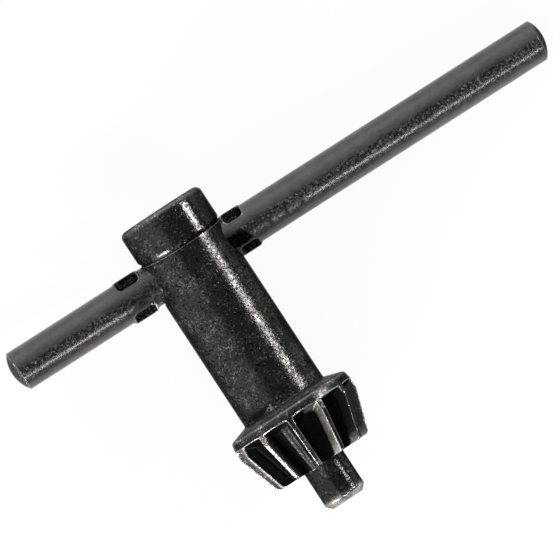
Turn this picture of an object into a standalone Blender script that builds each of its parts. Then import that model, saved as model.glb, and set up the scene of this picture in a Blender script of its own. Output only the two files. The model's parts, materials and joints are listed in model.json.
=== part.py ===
"""Drill chuck key: a black steel body with a bevel pinion and a pilot, and a staked cross bar.

The key is drawn upright in its own frame, with the two axes crossing at the origin: the body's
axis along Z with its head up, and the bar along X with its long arm at +X. The finished key is
then laid down as it comes to rest on a table, on the rim of its pinion, the edge of its head and
the end of its long arm.
"""

import math

import bmesh
import bpy
import numpy as np
from mathutils import Matrix, Vector

# Head and shank, in metres. Heights along the body are counted from where the two axes cross.
HEAD_RADIUS = 0.0065
HEAD_ABOVE_BAR = 0.0084
HEAD_EDGE_ROUND = 0.0009
SHANK_RADIUS = 0.00646
SHANK_BELOW_BAR = 0.0234
SHANK_FOOT_ROUND = 0.0003

# Shoulder groove, which slopes in from the head and steps out to the shank
GROOVE_ABOVE_BAR = 0.00260
GROOVE_WIDTH = 0.00065
GROOVE_DEPTH = 0.00025
GROOVE_STEP = 0.00010

# Pinion blank
PINION_RADIUS = 0.0095
PINION_LENGTH = 0.0099
BACK_CONE_LEAN = math.radians(17.5)
RIM_ROUND = 0.0006
RIM_LEAD_LENGTH = 0.0011
RIM_LEAD_DROP = 0.00022
PINION_BAND_LENGTH = 0.0037
PINION_TAPER = math.radians(18.0)
PINION_FRONT_ROUND = 0.0006

# Pinion teeth
TOOTH_COUNT = 12
TOOTH_PHASE = math.radians(-7.4)
TOOTH_DEPTH = 0.00185
TOOTH_LAND_BACK = 0.00068
TOOTH_LAND_FRONT = 0.00060
TOOTH_FLANK = math.radians(30.0)
ROOT_CONE = math.radians(17.5)
ROOT_ROUND = 0.00045
ROOT_ROUND_SHARE = 0.85
GAP_START = 0.0021
GAP_END_SLOPE = math.radians(26.0)

# Pilot
PILOT_RADIUS = 0.003175
PILOT_LENGTH = 0.0062
PILOT_CHAMFER = 0.00075
PILOT_ROOT_ROUND = 0.0002

# Cross bar and its hole
BAR_RADIUS = 0.0030
BAR_LONG_ARM = 0.0580
BAR_SHORT_ARM = 0.0294
BAR_DOME_RADIUS = 0.0052
BAR_LONG_CROWN_OFFSET = 0.00042
BAR_SHORT_CROWN_OFFSET = 0.00028
BAR_EDGE_ROUND = 0.00030
BAR_CLEARANCE = 0.00015
BAR_LEAN = math.radians(0.63)
HOLE_FLARE_DEPTH = 0.0012
HOLE_FLARE = math.radians(10.0)

# Staking that keeps the bar in its hole: ears raised above and below the bar, with two slots
# pressed beside each
STAKE_LENGTH_LONG_SIDE = 0.0028
STAKE_LENGTH_SHORT_SIDE = 0.0033
STAKE_GAP_LONG_SIDE = 0.00015
STAKE_GAP_SHORT_SIDE = 0.00107
STAKE_EAR_HEIGHT = 0.00016
STAKE_EAR_WIDTH = 0.00180
STAKE_EAR_ROUND = 0.00045
STAKE_EAR_MARGIN = 0.00015
STAKE_SLOT_WIDTH = 0.00190
STAKE_SLOT_DEPTH = 0.00045
STAKE_SLOT_END_SHARE = 0.9
STAKE_SLOT_ANGLE = math.radians(60.0)

# Facets
BODY_STEPS = 72
BAR_STEPS = 48
FILLET_STEPS = 3
ROOT_STEPS = 3
DOME_STEPS = 5
OVERCUT = 0.001
AXIS_MERGE = 0.00001
SMOOTH_ANGLE = math.radians(28.0)

BODY_COLOUR = (0.045, 0.043, 0.042, 1.0)
BAR_COLOUR = (0.110, 0.108, 0.106, 1.0)


def clear_scene():
    for old in list(bpy.data.objects):
        bpy.data.objects.remove(old, do_unlink=True)


def collection(name):
    made = bpy.data.collections.new(name)
    bpy.context.scene.collection.children.link(made)
    return made


def steel(name, colour, roughness):
    made = bpy.data.materials.new(name)
    made.use_nodes = True
    shader = made.node_tree.nodes["Principled BSDF"]
    shader.inputs["Base Color"].default_value = colour
    shader.inputs["Roughness"].default_value = roughness
    shader.inputs["Metallic"].default_value = 0.9
    return made


def placed(name, bm, home):
    """A new object in the given collection that holds this mesh."""
    mesh = bpy.data.meshes.new(name)
    bm.to_mesh(mesh)
    bm.free()
    made = bpy.data.objects.new(name, mesh)
    home.objects.link(made)
    return made


def as_cutter(made):
    made.hide_render = True
    made.display_type = "WIRE"
    return made


def filleted(corners):
    """The points of an outline given as (radius, height, rounding), with each rounding as a short arc."""
    points = []
    for index, (radius, height, rounding) in enumerate(corners):
        corner = Vector((radius, height))
        if not rounding:
            points.append(corner)
            continue
        back = (Vector(corners[index - 1][:2]) - corner).normalized()
        ahead = (Vector(corners[index + 1][:2]) - corner).normalized()
        half = back.angle(ahead) / 2
        centre = corner + (back + ahead).normalized() * rounding / math.sin(half)
        start = corner + back * rounding / math.tan(half) - centre
        turn = start.angle_signed(corner + ahead * rounding / math.tan(half) - centre)
        for step in range(FILLET_STEPS + 1):
            points.append(centre + start @ Matrix.Rotation(turn * step / FILLET_STEPS, 2))
    return points


def turned(name, points, steps, home):
    """A solid of revolution about Z from an outline that runs down its outer side."""
    bm = bmesh.new()
    verts = [bm.verts.new((radius, 0.0, height)) for radius, height in points]
    for first, second in zip(verts, verts[1:]):
        bm.edges.new((first, second))
    made = placed(name, bm, home)
    screw = made.modifiers.new("turn", "SCREW")
    screw.steps = steps
    screw.render_steps = steps
    screw.use_merge_vertices = True
    screw.merge_threshold = AXIS_MERGE
    return made


def boolean(target, label, operation, source):
    cut = target.modifiers.new(label, "BOOLEAN")
    cut.operation = operation
    cut.solver = "EXACT"
    if isinstance(source, bpy.types.Collection):
        cut.operand_type = "COLLECTION"
        cut.collection = source
    else:
        cut.object = source


def smooth_by_angle():
    """A node group that shades a mesh smooth, apart from edges that bend more than SMOOTH_ANGLE."""
    group = bpy.data.node_groups.new("smooth_by_angle", "GeometryNodeTree")
    group.is_modifier = True
    group.interface.new_socket("Geometry", in_out="INPUT", socket_type="NodeSocketGeometry")
    group.interface.new_socket("Geometry", in_out="OUTPUT", socket_type="NodeSocketGeometry")
    source = group.nodes.new("NodeGroupInput")
    faces = group.nodes.new("GeometryNodeSetShadeSmooth")
    edges = group.nodes.new("GeometryNodeSetShadeSmooth")
    edges.domain = "EDGE"
    bend = group.nodes.new("GeometryNodeInputMeshEdgeAngle")
    gentle = group.nodes.new("FunctionNodeCompare")
    gentle.operation = "LESS_THAN"
    gentle.inputs["B"].default_value = SMOOTH_ANGLE
    result = group.nodes.new("NodeGroupOutput")
    group.links.new(source.outputs["Geometry"], faces.inputs["Geometry"])
    group.links.new(faces.outputs["Geometry"], edges.inputs["Geometry"])
    group.links.new(bend.outputs["Unsigned Angle"], gentle.inputs["A"])
    group.links.new(gentle.outputs["Result"], edges.inputs["Shade Smooth"])
    group.links.new(edges.outputs["Geometry"], result.inputs["Geometry"])
    return group


def body_outline():
    """The body's outline, from the middle of its head to the middle of its pilot's tip."""
    groove_top = GROOVE_ABOVE_BAR + GROOVE_WIDTH
    groove_floor = SHANK_RADIUS - GROOVE_DEPTH
    blank_back = -SHANK_BELOW_BAR
    rim_radius = PINION_RADIUS - RIM_LEAD_DROP
    rim_height = blank_back - (rim_radius - SHANK_RADIUS) * math.tan(BACK_CONE_LEAN)
    band_end = blank_back - PINION_BAND_LENGTH
    blank_front = blank_back - PINION_LENGTH
    tip = blank_front - PILOT_LENGTH
    return filleted(
        [
            (0.0, HEAD_ABOVE_BAR, 0),
            (HEAD_RADIUS, HEAD_ABOVE_BAR, HEAD_EDGE_ROUND),
            (HEAD_RADIUS, groove_top, 0),
            (groove_floor, GROOVE_ABOVE_BAR + GROOVE_STEP, 0),
            (SHANK_RADIUS, GROOVE_ABOVE_BAR, 0),
            (SHANK_RADIUS, blank_back, SHANK_FOOT_ROUND),
            (rim_radius, rim_height, RIM_ROUND),
            (PINION_RADIUS, rim_height - RIM_LEAD_LENGTH, 0),
            (PINION_RADIUS, band_end, 0),
            (pinion_radius_at(blank_front), blank_front, PINION_FRONT_ROUND),
            (PILOT_RADIUS, blank_front, PILOT_ROOT_ROUND),
            (PILOT_RADIUS, tip + PILOT_CHAMFER, 0),
            (PILOT_RADIUS - PILOT_CHAMFER, tip, 0),
            (0.0, tip, 0),
        ]
    )


def pinion_radius_at(height):
    """The blank's radius at a height on its tapered part."""
    band_end = -SHANK_BELOW_BAR - PINION_BAND_LENGTH
    return PINION_RADIUS - (band_end - height) * math.tan(PINION_TAPER)


def gap_section(height, outer_radius, land):
    """A tooth gap's root radius and half its root width, for a blank and teeth of this size."""
    below_band = -SHANK_BELOW_BAR - PINION_BAND_LENGTH - height
    root_radius = PINION_RADIUS - TOOTH_DEPTH - below_band * math.tan(ROOT_CONE)
    half_pitch = math.pi / TOOTH_COUNT
    half_mouth = outer_radius * math.sin(half_pitch) - land / 2
    rise = outer_radius * math.cos(half_pitch) - root_radius
    return root_radius, half_mouth - rise * math.tan(TOOTH_FLANK)


def gap_cutter(index, home):
    """The space between two teeth: a box that slopes and narrows as a bevel gear's gap does."""
    back = -SHANK_BELOW_BAR - PINION_BAND_LENGTH
    front = -SHANK_BELOW_BAR - PINION_LENGTH
    back_root, back_half = gap_section(back, PINION_RADIUS, TOOTH_LAND_BACK)
    front_root, front_half = gap_section(front, pinion_radius_at(front), TOOTH_LAND_FRONT)
    mouth_height = -SHANK_BELOW_BAR - GAP_START
    over_top = TOOTH_DEPTH + OVERCUT / 2

    def root_at(height):
        return back_root + (front_root - back_root) * (height - back) / (front - back)

    def half_width_at(height, rise):
        root_half = back_half + (front_half - back_half) * (height - back) / (front - back)
        return root_half + rise * math.tan(TOOTH_FLANK)

    # The closed end slopes, so it meets the root further down than it meets the rim.
    wall = math.tan(GAP_END_SLOPE)
    slope = math.tan(ROOT_CONE)
    root_end = (mouth_height - wall * (PINION_RADIUS - back_root + back * slope)) / (1 - wall * slope)
    bm = bmesh.new()
    bmesh.ops.create_cube(bm, size=2.0)
    for vert in bm.verts:
        side, outward, upward = vert.co
        rise = over_top if outward > 0 else 0.0
        height = front - OVERCUT
        if upward > 0:
            height = root_end + rise * wall / (1 - wall * slope)
        vert.co = (side * half_width_at(height, rise), -(root_at(height) + rise), height)
    root_edges = [edge for edge in bm.edges if is_root_edge(edge, root_at)]
    rounding = min(ROOT_ROUND, ROOT_ROUND_SHARE * min(back_half, front_half))
    bmesh.ops.bevel(
        bm, geom=root_edges, offset=rounding, segments=ROOT_STEPS, affect="EDGES", profile=0.5
    )
    bmesh.ops.recalc_face_normals(bm, faces=bm.faces)
    made = as_cutter(placed(f"tooth_gap_{index + 1:02d}", bm, home))
    made.rotation_euler.z = TOOTH_PHASE + (index + 0.5) * math.tau / TOOTH_COUNT
    return made


def is_root_edge(edge, root_at):
    """Whether an edge of a gap's box runs along its root."""
    ends = [abs(-vert.co.y - root_at(vert.co.z)) < AXIS_MERGE for vert in edge.verts]
    runs_along = abs(edge.verts[0].co.z - edge.verts[1].co.z) > OVERCUT
    return all(ends) and runs_along


def key_body(parts, cutters):
    made = turned("key_body", body_outline(), BODY_STEPS, parts)
    made.data.materials.append(steel("black_oxide_steel", BODY_COLOUR, 0.42))
    hole_radius = BAR_RADIUS + BAR_CLEARANCE
    flare_start = HEAD_RADIUS - HOLE_FLARE_DEPTH
    mouth = HEAD_RADIUS + OVERCUT
    mouth_radius = hole_radius + (mouth - flare_start) * math.tan(HOLE_FLARE)
    hole_outline = [
        (0.0, mouth),
        (mouth_radius, mouth),
        (hole_radius, flare_start),
        (hole_radius, -flare_start),
        (mouth_radius, -mouth),
        (0.0, -mouth),
    ]
    hole = as_cutter(turned("cross_hole", hole_outline, BAR_STEPS, cutters))
    hole.rotation_euler.y = math.pi / 2
    boolean(made, "cross hole", "DIFFERENCE", hole)
    gaps = bpy.data.collections.new("tooth_gaps")
    cutters.children.link(gaps)
    for index in range(TOOTH_COUNT):
        gap_cutter(index, gaps)
    boolean(made, "tooth gaps", "DIFFERENCE", gaps)
    return made


def bar_outline():
    """The bar's outline about its own axis, from its long arm's crown to its short arm's."""
    rings = [(BAR_RADIUS - BAR_EDGE_ROUND) * step / DOME_STEPS for step in range(DOME_STEPS)]
    long_crown = [(radius, BAR_LONG_ARM - dome_sag(radius), 0) for radius in rings]
    short_crown = [(radius, dome_sag(radius) - BAR_SHORT_ARM, 0) for radius in reversed(rings)]
    rims = [
        (BAR_RADIUS, BAR_LONG_ARM - dome_sag(BAR_RADIUS), BAR_EDGE_ROUND),
        (BAR_RADIUS, dome_sag(BAR_RADIUS) - BAR_SHORT_ARM, BAR_EDGE_ROUND),
    ]
    return filleted(long_crown + rims + short_crown)


def dome_sag(radius):
    """How far a domed end has fallen back from its crown at this radius."""
    return BAR_DOME_RADIUS - math.sqrt(BAR_DOME_RADIUS**2 - radius**2)


def lean_ends(mesh):
    """Leans the domed ends, whose crowns sit off the bar's axis, towards the head."""
    end_depth = dome_sag(BAR_RADIUS) + BAR_EDGE_ROUND
    for vert in mesh.vertices:
        towards_head = -vert.co.x / BAR_DOME_RADIUS
        if vert.co.z > BAR_LONG_ARM - end_depth:
            vert.co.z += BAR_LONG_CROWN_OFFSET * towards_head
        elif vert.co.z < end_depth - BAR_SHORT_ARM:
            vert.co.z -= BAR_SHORT_CROWN_OFFSET * towards_head


def cross_bar(parts, cutters):
    blank = turned("cross_bar_blank", bar_outline(), BAR_STEPS, parts)
    graph = bpy.context.evaluated_depsgraph_get()
    mesh = bpy.data.meshes.new_from_object(blank.evaluated_get(graph))
    bpy.data.objects.remove(blank)
    lean_ends(mesh)
    made = bpy.data.objects.new("cross_bar", mesh)
    parts.objects.link(made)
    made.rotation_euler.y = math.pi / 2 + BAR_LEAN
    made.data.materials.append(steel("bright_oxide_steel", BAR_COLOUR, 0.34))
    ears = bpy.data.collections.new("stake_ears")
    slots = bpy.data.collections.new("stake_slots")
    cutters.children.link(ears)
    cutters.children.link(slots)
    long_side = (HEAD_RADIUS + STAKE_GAP_LONG_SIDE + STAKE_LENGTH_LONG_SIDE / 2, STAKE_LENGTH_LONG_SIDE)
    short_side = (
        -HEAD_RADIUS - STAKE_GAP_SHORT_SIDE - STAKE_LENGTH_SHORT_SIDE / 2,
        STAKE_LENGTH_SHORT_SIDE,
    )
    for arm, (station, length) in (("long", long_side), ("short", short_side)):
        for side, lift in (("upper", 1), ("lower", -1)):
            stake_ear(f"ear_{arm}_{side}", station, length, lift, ears)
            for face, towards in (("front", -1), ("back", 1)):
                stake_slot(f"slot_{arm}_{side}_{face}", station, length, lift, towards, slots)
    boolean(made, "stake ears", "UNION", ears)
    boolean(made, "stake slots", "DIFFERENCE", slots)
    return made


def rounded_block(name, size, rounding, vertical_only, home):
    """A box of this size about its centre, with all its edges rounded, or only the upright ones."""
    bm = bmesh.new()
    bmesh.ops.create_cube(bm, size=1.0)
    bmesh.ops.scale(bm, vec=size, verts=bm.verts)
    edges = list(bm.edges)
    if vertical_only:
        edges = [edge for edge in edges if edge.verts[0].co.z * edge.verts[1].co.z < 0]
    bmesh.ops.bevel(
        bm, geom=edges, offset=rounding, segments=FILLET_STEPS, affect="EDGES", profile=0.5
    )
    return as_cutter(placed(name, bm, home))


def stake_ear(name, station, length, lift, home):
    """The metal raised at one side of the bar."""
    size = (length + 2 * STAKE_EAR_MARGIN, STAKE_EAR_WIDTH, BAR_RADIUS / 2)
    made = rounded_block(name, size, STAKE_EAR_ROUND, False, home)
    reach = BAR_RADIUS + STAKE_EAR_HEIGHT - size[2] / 2
    place_on_bar(made, Vector((station, 0.0, lift * reach)), 0.0)
    return made


def stake_slot(name, station, length, lift, towards, home):
    """A slot with rounded ends, pressed in square to the bar's surface beside an ear."""
    size = (length, STAKE_SLOT_WIDTH, STAKE_SLOT_DEPTH + OVERCUT)
    end_round = STAKE_SLOT_END_SHARE * STAKE_SLOT_WIDTH / 2
    made = rounded_block(name, size, end_round, True, home)
    outward = Vector((0.0, towards * math.cos(STAKE_SLOT_ANGLE), lift * math.sin(STAKE_SLOT_ANGLE)))
    reach = BAR_RADIUS - STAKE_SLOT_DEPTH + size[2] / 2
    place_on_bar(made, Vector((station, 0.0, 0.0)) + outward * reach, math.atan2(-outward.y, outward.z))
    return made


def place_on_bar(made, place, roll):
    """Puts a cutter where it belongs along the leaning bar, rolled about the bar's axis."""
    lean = Matrix.Rotation(BAR_LEAN, 4, "Y")
    made.matrix_world = lean @ Matrix.Translation(place) @ Matrix.Rotation(roll, 4, "X")


def surface_points(pieces):
    """The points and the centre of mass of the pieces, in the key's own frame."""
    graph = bpy.context.evaluated_depsgraph_get()
    clouds = []
    moment = np.zeros(3)
    volume = 0.0
    for piece in pieces:
        mesh = piece.evaluated_get(graph).to_mesh()
        mesh.calc_loop_triangles()
        points = np.array([piece.matrix_world @ vert.co for vert in mesh.vertices])
        corners = points[np.array([triangle.vertices for triangle in mesh.loop_triangles])]
        volumes = np.linalg.det(corners) / 6
        moment += (volumes[:, None] * corners.sum(axis=1) / 4).sum(axis=0)
        volume += volumes.sum()
        clouds.append(points)
    return np.concatenate(clouds), Vector(moment / volume)


def resting_face(points, centre):
    """The outward normal of the hull face that the key comes to rest on when it is laid on its far side."""
    bm = bmesh.new()
    for point in points:
        bm.verts.new(point)
    hull = bmesh.ops.convex_hull(bm, input=bm.verts)
    faces = [item for item in hull["geom"] if isinstance(item, bmesh.types.BMFace)]
    middle = Vector(points.mean(axis=0))
    stable = []
    for face in faces:
        corners = [vert.co for vert in face.verts]
        normal = (corners[1] - corners[0]).cross(corners[2] - corners[0]).normalized()
        if normal.dot(corners[0] - middle) < 0:
            normal = -normal
            corners.reverse()
        sides = zip(corners, corners[1:] + corners[:1])
        if all((end - start).cross(centre - start).dot(normal) >= 0 for start, end in sides):
            stable.append(normal)
    bm.free()
    return max(stable, key=lambda normal: normal.y)


def lay_down(pieces, cutters):
    """Parents everything to an empty that lays the key on the table, its base centred on the origin."""
    bpy.context.view_layer.update()
    points, centre = surface_points(pieces)
    up = -resting_face(points, centre)
    along_bar = Vector((1.0, 0.0, 0.0))
    along_bar = (along_bar - along_bar.dot(up) * up).normalized()
    turn = Matrix((along_bar, up.cross(along_bar), up))
    laid = points @ np.array(turn).T
    low = laid.min(axis=0)
    high = laid.max(axis=0)
    shift = Vector((-(low[0] + high[0]) / 2, -(low[1] + high[1]) / 2, -low[2]))
    rest = bpy.data.objects.new("rest_pose", None)
    bpy.context.scene.collection.objects.link(rest)
    rest.matrix_world = Matrix.Translation(shift) @ turn.to_4x4()
    for made in pieces + list(cutters.all_objects):
        made.parent = rest


def main():
    clear_scene()
    parts = collection("drill_chuck_key")
    cutters = collection("cutters")
    pieces = [key_body(parts, cutters), cross_bar(parts, cutters)]
    shading = smooth_by_angle()
    for piece in pieces:
        piece.modifiers.new("smooth by angle", "NODES").node_group = shading
    lay_down(pieces, cutters)
    bpy.context.view_layer.update()


main()
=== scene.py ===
import json
import math

import bmesh
import bpy
import numpy as np
from mathutils import Matrix, Vector


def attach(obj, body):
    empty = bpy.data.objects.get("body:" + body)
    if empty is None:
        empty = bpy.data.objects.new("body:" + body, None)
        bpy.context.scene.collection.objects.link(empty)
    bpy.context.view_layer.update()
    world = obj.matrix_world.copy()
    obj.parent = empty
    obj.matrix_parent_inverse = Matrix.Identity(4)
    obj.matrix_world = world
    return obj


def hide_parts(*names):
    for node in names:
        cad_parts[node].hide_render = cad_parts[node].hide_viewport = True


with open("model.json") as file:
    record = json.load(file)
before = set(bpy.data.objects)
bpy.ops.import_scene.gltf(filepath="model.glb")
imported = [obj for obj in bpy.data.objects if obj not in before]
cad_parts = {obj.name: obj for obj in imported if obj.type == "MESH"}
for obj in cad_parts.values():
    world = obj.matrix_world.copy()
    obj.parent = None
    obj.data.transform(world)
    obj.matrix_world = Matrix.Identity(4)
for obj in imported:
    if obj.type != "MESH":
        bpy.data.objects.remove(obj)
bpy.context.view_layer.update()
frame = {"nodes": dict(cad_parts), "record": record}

# Body, in metres, in the key's own frame: its axis along Z with the head up, and the bar along X
HEAD_RADIUS = 0.0065
HEAD_ABOVE_BAR = 0.0084
HEAD_EDGE_ROUND = 0.0009
SHANK_RADIUS = 0.00646
SHANK_BELOW_BAR = 0.0234
SHANK_FOOT_ROUND = 0.0003
GROOVE_ABOVE_BAR = 0.00293
GROOVE_WIDTH = 0.00065
GROOVE_DEPTH = 0.00025
GROOVE_STEP = 0.00010
GROOVE_EDGE_ROUND = 0.00008
GROOVE_DIP = math.radians(6.1)
GROOVE_LEAN = math.radians(0.9)
GROOVE_WIDENING = 0.00050
BACK_CONE_LEAN = math.radians(17.5)
RIM_ROUND = 0.0006
RIM_LEAD_LENGTH = 0.0011
RIM_LEAD_DROP = 0.00022
PINION_RADIUS = 0.0095
PINION_LENGTH = 0.0099
PINION_BAND_LENGTH = 0.0037
PINION_TAPER = math.radians(18.0)
PINION_FRONT_ROUND = 0.0006
TAPER_START_ROUND = 0.0006
TOOTH_COUNT = 12
TOOTH_PHASE = math.radians(-7.4)
TOOTH_DEPTH = 0.00185
TOOTH_LAND_BACK = 0.00068
TOOTH_LAND_FRONT = 0.00060
TOOTH_FLANK = math.radians(30.0)
TOOTH_EDGE_ROUND = 0.00012
ROOT_CONE = math.radians(17.5)
ROOT_ROUND = 0.00050
GAP_START = 0.0021
GAP_END_SLOPE = math.radians(26.0)
PILOT_RADIUS = 0.003175
PILOT_LENGTH = 0.0062
PILOT_CHAMFER = 0.00075
PILOT_CHAMFER_ROUND = 0.00025
PILOT_ROOT_ROUND = 0.0002

# The part of the body about the groove that its tilt moves, and how softly the move fades out
GROOVE_MOVED_REACH = 3.4 * GROOVE_WIDTH
GROOVE_MOVED_FADE = 2.0 * GROOVE_WIDTH
GROOVE_LIFT_FADE = 0.3 * GROOVE_WIDTH

# Where round the body the groove is wider, in degrees
GROOVE_WIDE_AROUND = -139.0
GROOVE_WIDE_REACH = 20.0

# Edges of the body bared to steel by wear, and a painted highlight along the groove's step
WEAR_WIDTH = 0.00016
RING_WEAR_WIDTH = 0.00024
GROOVE_EDGE_HIGHLIGHT = 0.42
PINION_FRONT_WEAR = 0.8
PILOT_EDGE_WEAR = 0.6

# Scuffs and painted highlights on the body, a glint in the groove and a bright line in a gap: direction and
# half width in degrees, height, half height and share
RIM_SCUFF = (-60.0, 9.0, -0.0250, 0.0006, 0.75)
GROOVE_GLINT = (-122.0, 13.0, 0.00325, 0.00024, 0.25)
GAP_SCUFF = (-103.5, 4.5, -0.0300, 0.0045, 0.09)
GAP_HIGHLIGHT_LINE = (-110.0, 1.3, -0.0301, 0.0036, 0.5)
FLANK_SCUFF = (-176.0, 9.0, -0.0295, 0.0050, 0.4)

# Rings of the body painted bright by rubbing, the one on the cone a painted sheen: two of them by how far
# they lie below the pinion's back, then reach and share
RIM_RUB_BELOW = 0.00092
CONE_SHEEN_BELOW = 0.0004
HEAD_RUB = (0.00070, 0.45)
RIM_RUB = (0.00028, 0.5)
CONE_SHEEN = (0.0012, 0.55)
CHAMFER_RUB = (0.00045, 1.0)

# Wear, painted light and shade, and a darker band, that come and go round the body, with the directions of
# their middles in degrees
# Painted highlight with wear on the lands of the teeth towards one side
LAND_WEAR_AND_HIGHLIGHT = 0.8
LAND_HIGHLIGHT_MIDDLE = -157.0
LAND_DEPTH = 0.05
FLANK_DEPTH = 0.06
# Painted light and wear on one flank of each gap, brighter round one side of the pinion; the other flanks are
# painted dark as shade
FLANK_LIGHT_AND_WEAR = 0.85
FLANK_LIGHT_PATCHES = 4
FLANK_LIGHT_MIDDLE = -80.0
FRONT_WEAR = 0.5
FRONT_WEAR_LENGTH = 0.0016
# Painted shade at the foot of the shank by the cone and on one side of the groove; the ring on the pinion's
# band is only darker
FOOT_SHADE_MIDDLE = -125.0
FOOT_SHADE_ABOVE = 0.0006
FOOT_SHADE_REACH = 0.0008
BAND_DARK = 0.75
BAND_DARK_HEIGHT = -0.0250
BAND_DARK_REACH = 0.0004
GROOVE_SHADE_MIDDLE = -20.0
GROOVE_SHADE_FROM = 0.1
GROOVE_SHADE_FADE = 0.3
SLEEK_FADE = 0.0008
JUST_OUTSIDE = 0.0001
PILOT_MARGIN = 0.0016

# Cross bar and its hole
BAR_RADIUS = 0.0030
BAR_LONG_ARM = 0.0580
BAR_SHORT_ARM = 0.0294
BAR_DOME_RADIUS = 0.0052
BAR_LONG_CROWN_OFFSET = 0.00042
BAR_SHORT_CROWN_OFFSET = 0.00028
BAR_EDGE_ROUND = 0.00030
BAR_CLEARANCE = 0.00015
HOLE_FLARE_DEPTH = 0.0012
HOLE_FLARE = math.radians(10.0)
HOLE_EDGE_ROUND = 0.00025

# Staking
STAKE_LENGTH_LONG_SIDE = 0.0029
STAKE_LENGTH_SHORT_SIDE = 0.0034
STAKE_GAP_LONG_SIDE = 0.00002
STAKE_GAP_SHORT_SIDE = 0.00107
STAKE_TOP_EAR_HEIGHT = 0.00013
STAKE_BOTTOM_EAR_HEIGHT = 0.00030
STAKE_EAR_HALF_WIDTH = 0.00135
STAKE_EAR_MARGIN = 0.0005
STAKE_EAR_FADE = 0.0006
STAKE_SLOT_WIDTH = 0.00250
STAKE_SLOT_DEPTH = 0.00042
STAKE_SLOT_CORNER = 0.00070
STAKE_SLOT_WALL = 0.00022
STAKE_SLOT_ANGLE = math.radians(63.0)
STAKE_TURN = math.radians(6.6)
STAKE_LIP_HEIGHT = 0.00004
STAKE_LIP_WIDTH = 0.00018
STAKE_LIP_FADE = 0.0004
STAKE_REACH = 0.0009
PRESSED_EDGE = 0.00012
# How bright the lip of each staked slot is painted, as painted highlight and wear: beside the body, then at
# the far end
LONG_TOP_LIPS = (0.7, 0.7)
LONG_BOTTOM_LIPS = (0.12, 0.25)
SHORT_TOP_LIPS = (0.6, 0.14)
SHORT_BOTTOM_LIPS = (1.4, 0.45)

# Patches between the slots painted dark, from the staking's scuffs and, beside the body on the long arm, as
# painted shade and reflection of the body; the duller, darker bar about them; and the pitted band along the
# bar
PATCH_BELOW_MIDDLE = math.radians(20.0)
PATCH_REACH = math.radians(32.0)
PATCH_LEAN = 0.0012
PATCH_FADE = 0.0024
PATCH_SIDE_FADE = 0.35
# Each patch: its place along the bar, half its length and its share
LONG_PAINTED_SHADE = (0.0064, 0.0022, 0.85)
SHORT_SCUFF = (-0.0084, 0.0028, 0.45)
DULL_SHARE = 0.32
DULL_FROM = -0.0116
DULL_TO = 0.0192
DULL_FADE = 0.002
PITTED_BELOW_MIDDLE = math.radians(16.0)
PITTED_REACH = math.radians(25.0)
PITTED_SIDE_FADE = 0.15
PITTED_BY_HOLE = 0.8
PITTED_BY_HOLE_FADE = 0.0006

# Dark, pitted ends of the bar, with a thin bright lip round each
LONG_END_DARK = 0.95
SHORT_END_DARK = 0.77
CROWN_DARK = 0.75
END_DARK_RAMP = 1.2
LONG_END_LIP = 0.15
SHORT_END_LIP = 0.35
END_LIP_PLACE = 0.4
END_LIP_REACH = 0.3

# Facets
COLUMNS_PER_TOOTH = 30
BAR_COLUMNS = 168
ARC_STEPS = 6
DOME_STEPS = 8
HOLE_ROW_STEP = 0.00015
MOUTH_ROW_STEP = 0.00008
TOOTH_ROW_STEP = 0.00045
PLAIN_ROW_STEP = 0.0012
STAKED_ROW_STEP = 0.00010
STAKED_ROW_MARGIN = 0.0016
BAR_ROW_STEP = 0.0009
ROW_SLACK = 1.5
MOUTH_MARGIN = 0.0003
FRONT_MARGIN = 0.0001
CROWDING = 0.6
STEEPEST_FLANK = 0.05
SAME_HEIGHT = 1e-7
OVERCUT = 0.001
BAR_END_REACH = 0.002

# Camera, which looks down on the key, nearly square to both of its axes
VIEW_SIDEWAYS = math.radians(-3.5)
VIEW_RAISED = math.radians(-0.2)
CAMERA_ROLL = math.radians(33.24)
CAMERA_DISTANCE = 1.4
CAMERA_SENSOR_MM = 36.0
CAMERA_CLIP_END = 10.0
IMAGE_PIXELS = 560
PIXELS_PER_METRE = 7217.0
CROSSING_PIXEL = (191.64, 260.9)

# Floor, sky and lamps; angles of the lamps and of the sky are in degrees
FLOOR_HALF_SIZE = 1.5
FLOOR_WHITE_SHARE = 0.93
FLOOR_GLOSSY_SHARE = 0.7
SKY_AZIMUTH = 122.0
SKY_LOW = 0.1
SKY_HIGH = 1.7
SKY_RISE_FROM = 0.25
SKY_RISE_TO = 0.9
LAMP_DISTANCE = 0.8

# Noise scales of the steel's features
GRAIN_SCALE = 3700.0
DOTS_SCALE = 2100.0
BODY_PATCH_SCALE = 260.0
BODY_CLUSTER_SCALE = 500.0
BODY_SPECK_SCALE = 3400.0
BODY_PIT_SCALE = 3000.0
BAR_PATCH_SCALE = 300.0
BAR_RAGGED_SCALE = 900.0
BAR_SPECK_SCALE = 3200.0
BAR_PIT_SCALE = 2800.0

# Levels between which each feature of the steel comes up
DOTS_LEVELS = (0.56, 0.66)
BODY_SPECK_LEVELS = (0.80, 0.98)
BODY_PIT_LEVELS = (0.36, 0.46)
BODY_PATCH_LEVELS = (0.35, 0.65)
SHADE_AND_BAND_LEVELS = (0.5, 1.0)
FLANK_LEVELS = (0.04, 0.14)
ROOT_LEVELS = (0.62, 0.85)
EDGE_LEVELS = (0.55, 0.90)
BAR_SPECK_LEVELS = (0.52, 0.70)
BAR_PIT_LEVELS = (0.46, 0.56)
BAR_MOTTLE_LEVELS = (0.38, 0.62)
SHADE_AND_SCUFF_LEVELS = (0.60, 1.20)
LIP_BREAK_LEVELS = (0.34, 0.50)
LIP_LEVELS = (0.06, 0.30)

# How far each noise sways the feature that it breaks up
CLUSTER_SWAY = 0.5
PATCH_SWAY = 0.6
GRAIN_SWAY = 0.5
RUBBED_HIGHLIGHT_PLAIN = 0.8
RUBBED_HIGHLIGHT_SPECKED = 1.6
LIP_PLAIN = 0.3

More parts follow.
